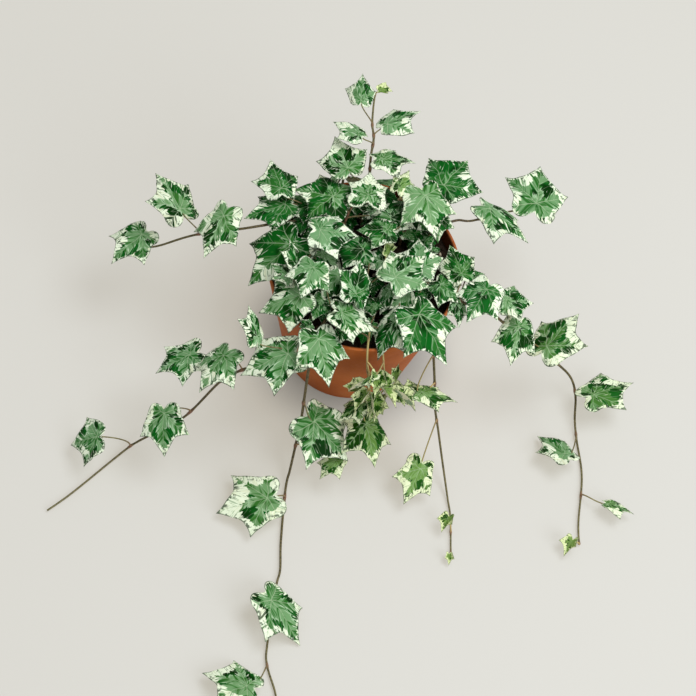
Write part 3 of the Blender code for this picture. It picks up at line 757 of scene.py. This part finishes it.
def undergrowth(vine, draw):
    """Small leaves on a stem's lowest stretch, which fill the gaps under the larger ones."""
    count = BACK_UNDERGROWTH if vine.route[0][1] > BACK_ROOT else UNDERGROWTH
    leaves = []
    while len(leaves) < count:
        at = draw.uniform(0.0, LOW_TOP)
        x, y, z = point_on_route(vine.route, at)
        turn = draw.uniform(0, 2 * pi)
        out = draw.uniform(*LOW_OUT)
        base = (x + out * cos(turn), y + out * sin(turn), z + draw.uniform(*LOW_RISE))
        length = draw.uniform(*LOW_LENGTH)
        if hypot(base[0], base[1]) + LOW_REACH * length < CLEAR_RADIUS:
            heading = degrees(turn) + draw.uniform(-LOW_TURN, LOW_TURN)
            leaves.append(Leaf(at, base, heading, draw.uniform(*LOW_PITCH), draw.uniform(*LOW_BANK),
                               length, wide=draw.uniform(*LOW_WIDE), heel=draw.uniform(*LOW_HEEL),
                               look=draw.choice(LOW_LOOKS)))
    return leaves


def blade_growth(vine, leaf):
    if vine.name.startswith("crown"):
        return CROWN_GROWTH
    if vine.name == "vine_top" or hypot(leaf.base[0], leaf.base[1]) > STEADY_REACH:
        return 1.0
    return OUTER_GROWTH


def build_vine(vine, face, underside, bark):
    draw = Random(vine.name)
    leaves = [leaf._replace(length=blade_growth(vine, leaf) * leaf.length) for leaf in vine.leaves]
    leaves += [*MORE_LEAVES.get(vine.name, ()), *undergrowth(vine, draw)]
    stems = Surface("stem")
    add_stem(stems, vine)
    blades = Surface("blade", "kind", "draw")
    for leaf in leaves:
        add_stalk(stems, vine, leaf)
        add_blade(blades, leaf, draw)
    stem_piece = stems.piece(vine.name + "_stem", bark)
    blade_piece = blades.piece(vine.name + "_leaves", face, underside)
    for piece in (stem_piece, blade_piece):
        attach(piece, "root")
        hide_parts(vine.name)


# Pot and soil
POT_RED = (0.43, 0.113, 0.018)
POT_DEEP = (0.33, 0.076, 0.010)
POT_STAIN_AND_SHADE = (0.050, 0.016, 0.006)
POT_BLOOM = (0.52, 0.25, 0.12)
SOIL_GRAINS = 1500
SOIL_RINGS = 40
SOIL_SPOKES = 120
GRAIN_SIZE = (0.5, 1.9)
GRAIN_MARGIN = 1.5
GRAIN_RISE = 0.2
GRAIN_LONG = (0.8, 2.0)
GRAIN_TALL = (0.4, 0.9)
GRAIN_TILT = 0.5
GRAIN_TURN = 6
GRAIN_DENT = (0.8, 1.15)
PALE_GRAINS = 0.05
CLOD_HEIGHT = 1.2
SOIL_SIDE_DEPTH = 2.0


def wall_radius(height):
    return BASE_RADIUS + (RIM_RADIUS - BASE_RADIUS) * height / POT_HEIGHT


def arc(centre, radius, first, last):
    """Points of an arc in a profile, its angles in degrees from outwards."""
    turns = [radians(first + (last - first) * k / ARC_STEPS) for k in range(ARC_STEPS + 1)]
    return [(centre[0] + radius * cos(turn), centre[1] + radius * sin(turn)) for turn in turns]


def pot_profile():
    """The wall's section, from the middle of the floor inside, over the lip, to the middle below."""
    inner_rim = RIM_RADIUS - WALL
    lip_z = POT_HEIGHT - LIP_ROUNDING
    profile = [(0.0, FLOOR_THICKNESS), (wall_radius(FLOOR_THICKNESS) - WALL, FLOOR_THICKNESS)]
    profile += arc((inner_rim + LIP_ROUNDING, lip_z), LIP_ROUNDING, 180, 90)
    profile += arc((RIM_RADIUS - LIP_ROUNDING, lip_z), LIP_ROUNDING, 90, 0)
    profile += arc((BASE_RADIUS - FOOT_ROUNDING, FOOT_ROUNDING), FOOT_ROUNDING, 0, -90)
    profile.append((0.0, 0.0))
    return profile


def object_of(bm, name):
    mesh = bpy.data.meshes.new(name)
    bm.to_mesh(mesh)
    bm.free()
    return new_object(name, mesh)


def build_pot(mat):
    """The turned pot, with drain holes cut through its floor."""
    bm = bmesh.new()
    verts = [bm.verts.new((r * MM, 0.0, z * MM)) for r, z in pot_profile()]
    edges = [bm.edges.new(pair) for pair in zip(verts, verts[1:])]
    bmesh.ops.spin(bm, geom=verts + edges, cent=(0, 0, 0), axis=(0, 0, 1), angle=2 * pi,
                   steps=POT_STEPS, use_merge=True)
    bmesh.ops.remove_doubles(bm, verts=bm.verts, dist=WELD_DISTANCE * MM)
    bmesh.ops.recalc_face_normals(bm, faces=bm.faces)
    pot = object_of(bm, "pot_moulded")
    pot.data.materials.append(mat)
    radius = DRAIN_HOLE_RADIUS * MM
    bm = bmesh.new()
    for k in range(DRAIN_HOLES):
        turn = 2 * pi * (k + 0.5) / DRAIN_HOLES
        spot = (DRAIN_CIRCLE * MM * cos(turn), DRAIN_CIRCLE * MM * sin(turn), 0)
        bmesh.ops.create_cone(bm, cap_ends=True, segments=DRAIN_SIDES, radius1=radius, radius2=radius,
                              depth=4 * FLOOR_THICKNESS * MM, matrix=Matrix.Translation(spot))
    holes = object_of(bm, "drain_holes")
    cut = pot.modifiers.new("Drain", "BOOLEAN")
    cut.object = holes
    cut.solver = "EXACT"
    bpy.context.view_layer.update()
    evaluated = pot.evaluated_get(bpy.context.evaluated_depsgraph_get())
    pot.data = bpy.data.meshes.new_from_object(evaluated)
    pot.modifiers.clear()
    bpy.data.objects.remove(holes)
    pot.data.shade_smooth()
    pot.data.set_sharp_from_angle(angle=radians(SHARP_ANGLE))
    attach(pot, "root")
    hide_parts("pot")


def soil_height(x, y):
    """The soil's top, with low mounds, clods and crumbs, in millimetres."""
    mounds = sin(0.11 * x + 0.4) * cos(0.13 * y) + 0.6 * sin(0.23 * x - 0.19 * y)
    clods = noise.noise(Vector((x, y, 0)) * 0.22) + 0.5 * noise.noise(Vector((x, y, 7)) * 0.6)
    return SOIL_TOP + SOIL_UNEVENNESS * mounds + CLOD_HEIGHT * clods


def build_soil(mat):
    """A crumbly top with loose grains on it, over a plain plug that fills the pot."""
    soil = Surface("grain")
    top_edge = wall_radius(SOIL_TOP) - WALL - GAP
    side_z = SOIL_TOP - SOIL_SIDE_DEPTH
    low = FLOOR_THICKNESS + GAP
    rings = [(top_edge * k / SOIL_RINGS, None) for k in range(1, SOIL_RINGS + 1)]
    rings += [(wall_radius(side_z) - WALL - GAP, side_z), (wall_radius(low) - WALL - GAP, low)]
    plain = (0.0, 0.0, 0.0)
    middle = soil.point((0.0, 0.0, soil_height(0, 0)), grain=plain)
    rows = []
    for radius, z in rings:
        row = []
        for k in range(SOIL_SPOKES):
            turn = 2 * pi * k / SOIL_SPOKES
            x, y = radius * cos(turn), radius * sin(turn)
            row.append(soil.point((x, y, z or soil_height(x, y)), grain=plain))
        rows.append(row)
    bottom = soil.point((0.0, 0.0, low), grain=plain)
    for k in range(SOIL_SPOKES):
        m = (k + 1) % SOIL_SPOKES
        soil.face(middle, rows[0][k], rows[0][m])
        for inner, outer in zip(rows, rows[1:]):
            soil.face(inner[k], outer[k], outer[m], inner[m])
        soil.face(bottom, rows[-1][m], rows[-1][k])
    draw = Random("soil grains")
    ball = bmesh.new()
    bmesh.ops.create_icosphere(ball, subdivisions=1, radius=1.0)
    for _ in range(SOIL_GRAINS):
        radius = (top_edge - GRAIN_MARGIN) * draw.random() ** 0.5
        turn = draw.uniform(0, 2 * pi)
        x, y = radius * cos(turn), radius * sin(turn)
        size = draw.uniform(*GRAIN_SIZE) * draw.random() ** 0.5
        pale = 1.0 if draw.random() < PALE_GRAINS else 0.0
        stretch = Matrix.Diagonal((size * draw.uniform(*GRAIN_LONG), size,
                                   size * draw.uniform(*GRAIN_TALL)))
        spin = Euler([draw.uniform(-GRAIN_TILT, GRAIN_TILT), draw.uniform(-GRAIN_TILT, GRAIN_TILT),
                      draw.uniform(0, GRAIN_TURN)])
        turned = spin.to_matrix() @ stretch
        centre = Vector((x, y, soil_height(x, y) + GRAIN_RISE * size))
        tone = (pale, draw.random(), 0.0)
        first = len(soil.points)
        for vertex in ball.verts:
            soil.point(tuple(centre + turned @ (vertex.co * draw.uniform(*GRAIN_DENT))), grain=tone)
        for face in ball.faces:
            soil.face(*(first + v.index for v in face.verts))
    ball.free()
    piece = soil.piece("soil_crumbs", mat)
    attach(piece, "root")
    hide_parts("soil")


# Leaf colours, in linear light
DARK_GREEN = (0.0003, 0.026, 0.001)
RICH_GREEN = (0.0018, 0.100, 0.008)
FULL_GREEN = (0.013, 0.127, 0.016)
GREY_GREEN = (0.150, 0.315, 0.142)
PALE_GREY_GREEN = (0.48, 0.68, 0.46)
CREAM = (0.81, 0.92, 0.74)
WARM_CREAM = (0.72, 0.79, 0.57)
SPECK = (0.005, 0.03, 0.007)
VEIN = (0.50, 0.66, 0.42)
YOUNG_DARK = (0.015, 0.075, 0.003)
YOUNG_GREY = (0.20, 0.345, 0.078)
YOUNG_CREAM = (0.74, 0.83, 0.46)
UNDER_GREY = (0.20, 0.29, 0.17)
UNDER_CREAM = (0.60, 0.60, 0.42)

# How strongly specks and veins show over the other colours
SPECK_TONE = 0.85
MAIN_VEIN_TONE = 0.42
SIDE_VEIN_TONE = 0.22
UNDER_VEIN_TONE = 0.7

# The leaf's pattern, in shares of the blade's length. A pair is the start and end of a smooth step.
VEIN_BEND = 0.14
VEIN_BEND_SCALE = 2.6
BEHIND_VEIN = -3.0
SIDE_VEIN_SLANT = 1.1
VEIN_LANE = 7.3
SIDE_LANE = 3.1
CORE = (0.38, 0.14)
BAY = (0.12, 0.26)
PATCH_SCALE = 2.3
BLOTCH_SCALE = 2.4
GREY_SOFTNESS = 0.008
FRINGE = (0.065, 0.015)
FRINGE_BREAKS = (-0.05, 0.01)
CREAM_SOFTNESS = 0.007
RIM_SCALE = 9.0
RIM_BREAKS = (0.34, 0.58)
RIM_WIDTH = (0.024, 0.008)
SPOT_SCALE = 14.0
SPOT_BREAKS = (0.55, 0.61)
SPOT_REACH = (0.13, 0.04)
SCRATCHES = (0.06, 0.12)
SCRATCHED_CREAM = (0.21, 0.13)
SCRATCH_TONE = 0.92
DARK_STREAKS = (0.12, 0.19)
DARK_STREAK_TONE = 0.6
PALE_STREAKS = (-0.13, -0.20)
PALE_STREAK_REACH = (0.03, 0.09)
GLINTS = (-0.12, -0.18)
GLINT_REACH = (0.05, 0.12)
GLINT_CREAM = (-0.02, 0.05)
GLINT_TONE = 0.75
VEIN_WIDTH = 0.0125
VEIN_THINNING = 0.008
VEIN_CORE = 0.45
SIDE_VEIN_RATE = 5.5
SIDE_VEIN_WIDTH = (0.06, 0.02)
SIDE_VEIN_REACH = (0.32, 0.05)

# Noises drawn out along the side veins: scales along the main vein and out from it, shift and detail
FLAMES = {
    "broad": (6.5, 1.6, 0.0, 3.0),
    "fine": (20.0, 3.2, 11.0, 2.0),
    "other": (8.5, 1.8, 23.0, 3.0),
    "scratch": (22.0, 5.0, 41.0, 2.0),
    "streak": (12.0, 2.4, 53.0, 2.0),
}

# Weights of what sets the edge of the paler green, the edge of the cream, and the cream's least width
GREY_EDGE = {"patch": 0.65, "broad": 0.45, "fine": 0.12, "core": 0.05, "grey_width": 1.0}
CREAM_EDGE = {"blotch": 1.1, "other": 0.42, "fine": 0.18, "bay": -0.04, "core": -0.22,
              "cream_width": 1.0}
THIN_CREAM_EDGE = {"fine": 0.2, "cream_width": 0.35}


def nearest_vein(shade, x, y):
    """How far off the nearest main vein a place is, how far along it, and that vein's number."""
    off = run = number = None
    for k, angle in enumerate(VEIN_ANGLES):
        c, s = cos(radians(angle)), sin(radians(angle))
        along = x * c + y * s
        apart = abs(y * c - x * s) + (along * BEHIND_VEIN).larger(0.0)
        if off is None:
            off, run, number = apart, along, 0.0
        else:
            nearer = shade.math("LESS_THAN", apart, off)
            run = nearer.between(run, along)
            number = nearer.between(number, float(k))
            off = shade.math("MINIMUM", apart, off)
    return off, run, number


def leaf_pattern(shade):
    """Masks for the cream, the paler greens, the flecks and the veins, with what they come from."""
    x, y, margin = shade.marks("blade")
    cream_width, grey_width, youth = shade.marks("kind")
    seed, patchiness, fullness = shade.marks("draw")
    side = shade.math("SIGN", y)
    flat = shade.vector(x, y, seed)
    core = shade.length(shade.vector(x, y, 0.0)).step(*CORE)
    bend = shade.swing(flat, VEIN_BEND_SCALE, 1.0) * VEIN_BEND
    off, run, number = nearest_vein(shade, x - bend, abs(y + bend))
    rank = run - off * SIDE_VEIN_SLANT
    lane = seed + number * VEIN_LANE + side * SIDE_LANE
    parts = {"cream_width": cream_width, "grey_width": grey_width, "core": core,
             "bay": off.step(*BAY), "patch": shade.swing(flat, PATCH_SCALE, 2.0),
             "blotch": shade.swing(flat, BLOTCH_SCALE, 1.0) * patchiness}
    for name, (along, outwards, shift, detail) in FLAMES.items():
        spot = shade.vector(rank * along, off * outwards, lane + shift)
        parts[name] = shade.swing(spot, 1.0, detail)

    def weighed(weights):
        """The sum of parts, each times its weight."""
        total = 0.0
        for name, weight in weights.items():
            total = shade.math("MULTIPLY_ADD", parts[name], weight, total)
        return total

    into_grey = weighed(GREY_EDGE) - off
    grey = into_grey.step(-GREY_SOFTNESS, GREY_SOFTNESS)
    fringe = into_grey.step(*FRINGE) * parts["other"].step(*FRINGE_BREAKS) * (1.0 - fullness)
    into_cream = weighed(CREAM_EDGE).larger(weighed(THIN_CREAM_EDGE)) - margin
    cream = into_cream.step(-CREAM_SOFTNESS, CREAM_SOFTNESS)
    rim = shade.noise(flat, RIM_SCALE, 1.0).step(*RIM_BREAKS) * margin.step(*RIM_WIDTH)
    spots = shade.noise(flat, SPOT_SCALE, 2.0).step(*SPOT_BREAKS) * margin.step(*SPOT_REACH)
    fleck = rim.larger(spots) * (1.0 - core)
    scratch, streak = parts["scratch"], parts["streak"]
    broken = scratch.step(*SCRATCHES) * cream_width.step(*SCRATCHED_CREAM) * (1.0 - youth)
    cream = cream * (1.0 - broken * SCRATCH_TONE)
    grey = grey * (1.0 - streak.step(*DARK_STREAKS) * DARK_STREAK_TONE)
    fringe = fringe.larger(streak.step(*PALE_STREAKS) * off.step(*PALE_STREAK_REACH))
    glint = scratch.step(*GLINTS) * off.step(*GLINT_REACH) * cream_width.step(*GLINT_CREAM)
    cream = cream.larger(glint * GLINT_TONE)
    width = VEIN_WIDTH - run * VEIN_THINNING
    main_vein = off.step(width, width * VEIN_CORE)
    beat = abs(shade.math("FRACT", rank * SIDE_VEIN_RATE) - 0.5)
    side_vein = beat.step(*SIDE_VEIN_WIDTH) * off.step(*SIDE_VEIN_REACH)
    return SimpleNamespace(**parts, cream=cream, grey=grey, fringe=fringe, fleck=fleck,
                           main_vein=main_vein, side_vein=side_vein, youth=youth,
                           fullness=fullness)


def leaf_face_material():
    shade = Shade("ivy leaf face")
    mask = leaf_pattern(shade)
    dark = mask.patch.step(-0.14, 0.04).blend(DARK_GREEN, RICH_GREEN)
    dark = mask.youth.blend(dark, YOUNG_DARK)
    full = mask.fullness - mask.other * 3.5
    grey = full.step(0.3, 0.7).blend(GREY_GREEN, FULL_GREEN)
    grey = mask.fringe.blend(grey, PALE_GREY_GREEN)
    grey = mask.youth.blend(grey, YOUNG_GREY)
    cream = mask.fine.step(0.0, 0.2).blend(CREAM, WARM_CREAM)
    cream = mask.youth.blend(cream, YOUNG_CREAM)
    colour = mask.grey.blend(dark, grey)
    colour = mask.cream.blend(colour, cream)
    colour = (mask.fleck * SPECK_TONE).blend(colour, SPECK)
    colour = (mask.side_vein * SIDE_VEIN_TONE).blend(colour, VEIN)
    colour = (mask.main_vein * MAIN_VEIN_TONE).blend(colour, VEIN)
    height = mask.broad * 0.8 - mask.main_vein - mask.side_vein * 0.5
    return shade.finish(colour, height, rough=0.45, gloss=0.045, relief_mm=0.3)


def leaf_underside_material():
    shade = Shade("ivy leaf underside")
    mask = leaf_pattern(shade)
    colour = mask.cream.blend(UNDER_GREY, UNDER_CREAM)
    colour = (mask.main_vein * UNDER_VEIN_TONE).blend(colour, VEIN)
    height = mask.main_vein + mask.side_vein * 0.5
    return shade.finish(colour, height, rough=0.65, gloss=0.12, relief_mm=0.3)


# Stem and soil colours, in linear light. A pair is a dark and a light grain of one tone.
BARK = ((0.028, 0.018, 0.009), (0.115, 0.072, 0.035))
FRESH_BARK = ((0.10, 0.094, 0.035), (0.25, 0.235, 0.105))
YOUNG_STEM = (0.54, 0.44, 0.17)
KNOT = (0.30, 0.12, 0.085)
SOIL = ((0.006, 0.004, 0.003), (0.04, 0.026, 0.017))
WOODY_GRAIN = (0.085, 0.05, 0.028)
PALE_GRAIN = (0.55, 0.48, 0.36)


def stem_material():
    """Brown bark that turns green on young growth, with paler streaks and redder knots."""
    shade = Shade("ivy stem")
    age, knot, youth = shade.marks("stem")
    grain = shade.noise(shade.place(), 900.0, 3.0)
    bark = grain.step(0.35, 0.7).blend(*BARK)
    fresh = grain.step(0.3, 0.7).blend(*FRESH_BARK)
    colour = age.blend(youth.blend(fresh, YOUNG_STEM), bark)
    colour = (knot * 0.6).blend(colour, KNOT)
    return shade.finish(colour, grain, rough=0.55, gloss=0.3, relief_mm=0.12)


def pot_material():
    """Satin moulded plastic in clouded tones, with fine scuffs, faint turned lines, a thin chalky
    bloom low down, a paler worn lip, and an inner wall darkened by soil stain and painted shade."""
    shade = Shade("terracotta plastic")
    place = shade.place()
    cloud = shade.noise(place, 30.0, 4.0)
    scuff = shade.noise(place, 420.0, 3.0)
    turned = shade.noise(shade.stretched(place, 0.05, 0.05, 1.0), 700.0, 2.0)
    height = shade.length(shade.stretched(place, 0.0, 0.0, 1.0))
    colour = cloud.step(0.3, 0.7).blend(POT_DEEP, POT_RED)
    low = height.step(0.035, 0.0) * cloud.step(0.42, 0.62)
    lip = height.step(0.1085, 0.1098) * scuff.step(0.35, 0.6)
    colour = (low * 0.14).larger(lip * 0.2).blend(colour, POT_BLOOM)
    # Soil stain and painted shade: the inner wall and the inner part of the lip's top are darkened.
    outside = height * ((RIM_RADIUS - BASE_RADIUS) / POT_HEIGHT) + BASE_RADIUS * MM
    depth = outside - shade.length(shade.stretched(place, 1.0, 1.0, 0.0))
    inside = depth.step(WALL * MM * 0.45, WALL * MM * 0.8)
    colour = (inside * 0.75).blend(colour, POT_STAIN_AND_SHADE)
    return shade.finish(colour, scuff * 0.4 + turned * 0.6, rough=scuff.between(0.45, 0.7),
                        gloss=0.16, relief_mm=0.08, strength=0.5)


def soil_material():
    """Dark crumbs, some of them woody, with a few pale grains."""
    shade = Shade("potting soil")
    pale, tone, _ = shade.marks("grain")
    crumb = shade.noise(shade.place(), 700.0, 5.0)
    dark = tone.step(0.7, 1.0).blend(crumb.blend(*SOIL), WOODY_GRAIN)
    colour = pale.blend(dark, PALE_GRAIN)
    return shade.finish(colour, crumb, rough=0.95, gloss=0.1, relief_mm=0.4, strength=1.0)


# Camera, floor and light
ELEVATION = 61.5
ROLL = 13.0
DISTANCE = 1600.0
AIM_HEIGHT = 55.0
SLIDE = (-5.0, -30.0)
FOCAL_PIXELS = 2330.0
PICTURE_PIXELS = 696
SENSOR = 36.0
FAR_CLIP = 100.0
FLOOR_TONE = (0.297, 0.324, 0.343, 1.0)
# The floor's glow is painted light, not a lamp: it lifts and warms the shadows on the floor.
FLOOR_PAINTED_GLOW = (0.400, 0.364, 0.300, 1.0)
FLOOR_HALF = 9000.0
FLOOR_DROP = 0.1
# Painted shadow under the pot: within the first radius, in metres, the floor's glow drops to the share
# below, and it is full past the second.
PAINTED_CONTACT_SHADOW = (0.040, 0.085)
PAINTED_SHADOW_GLOW = 0.3
SKY = (1.0, 0.99, 0.97, 1.0)
SKY_STRENGTH = 0.5

# Each lamp's name, place and size in metres, power in watts and colour
LAMPS = (
    ("key", (0.46, 0.14, 1.5), 0.8, 12.5, (1.0, 0.985, 0.96)),
    ("fill", (1.1, -0.8, 1.0), 1.0, 11.0, (1.0, 0.99, 0.97)),
)


def build_camera():
    """The photograph's view: from the front and well above, rolled a little."""
    e, r = radians(ELEVATION), radians(ROLL)
    forward = Vector((0.0, cos(e), -sin(e)))
    right = Vector((1.0, 0.0, 0.0))
    up = right.cross(forward)
    across = cos(r) * right + sin(r) * up
    above = -sin(r) * right + cos(r) * up
    aim = Vector((0.0, 0.0, AIM_HEIGHT))
    eye = aim - forward * DISTANCE + across * SLIDE[0] + above * SLIDE[1]
    data = bpy.data.cameras.new("camera")
    data.sensor_width = SENSOR
    data.lens = FOCAL_PIXELS / PICTURE_PIXELS * SENSOR
    data.clip_end = FAR_CLIP
    camera = new_object("camera", data)
    turn = Matrix((across, above, -forward)).transposed().to_4x4()
    turn.translation = eye * MM
    camera.matrix_world = turn
    bpy.context.scene.camera = camera


def area_light(name, place, size, power, colour):
    """A square lamp that faces the origin."""
    data = bpy.data.lights.new(name, "AREA")
    data.size = size
    data.energy = power
    data.color = colour
    lamp = new_object(name, data)
    lamp.location = place
    lamp.rotation_euler = (-Vector(place)).to_track_quat("-Z", "Y").to_euler()


def build_studio():
    """A pale floor with a faint painted glow, weaker under the pot as a painted shadow, below a bright
    room and two lamps.
    """
    ground = Surface()
    corners = [ground.point((x * FLOOR_HALF, y * FLOOR_HALF, -FLOOR_DROP))
               for x, y in ((-1, -1), (1, -1), (1, 1), (-1, 1))]
    ground.face(*corners)
    shade = Shade("studio floor")
    # Painted light: the floor glows, and glows less under the pot, which paints a soft shadow there.
    painted_glow = shade.length(shade.place()).step(*PAINTED_CONTACT_SHADOW).between(PAINTED_SHADOW_GLOW, 1.0)
    mat = shade.sets(Base_Color=FLOOR_TONE, Roughness=0.9, Specular_IOR_Level=0.1,
                     Emission_Color=FLOOR_PAINTED_GLOW, Emission_Strength=painted_glow)
    floor_piece = ground.piece("studio_floor", mat)
    world = bpy.data.worlds.new("studio")
    bpy.context.scene.world = world
    world.use_nodes = True
    sky = world.node_tree.nodes["Background"].inputs
    sky["Color"].default_value = SKY
    sky["Strength"].default_value = SKY_STRENGTH
    for lamp in LAMPS:
        area_light(*lamp)
    view = bpy.context.scene.view_settings
    view.view_transform = "Standard"
    view.look = "None"


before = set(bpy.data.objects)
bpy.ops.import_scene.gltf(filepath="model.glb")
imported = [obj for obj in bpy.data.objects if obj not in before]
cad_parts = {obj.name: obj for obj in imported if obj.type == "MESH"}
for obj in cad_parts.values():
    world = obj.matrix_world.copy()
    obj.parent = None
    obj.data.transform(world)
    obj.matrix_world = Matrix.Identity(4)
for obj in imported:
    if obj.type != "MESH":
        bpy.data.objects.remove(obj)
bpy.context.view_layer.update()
OUTLINE = outline_angles()
foliage = (leaf_face_material(), leaf_underside_material(), stem_material())
for vine in VINES:
    build_vine(vine, *foliage)
build_pot(pot_material())
build_soil(soil_material())
build_camera()
build_studio()
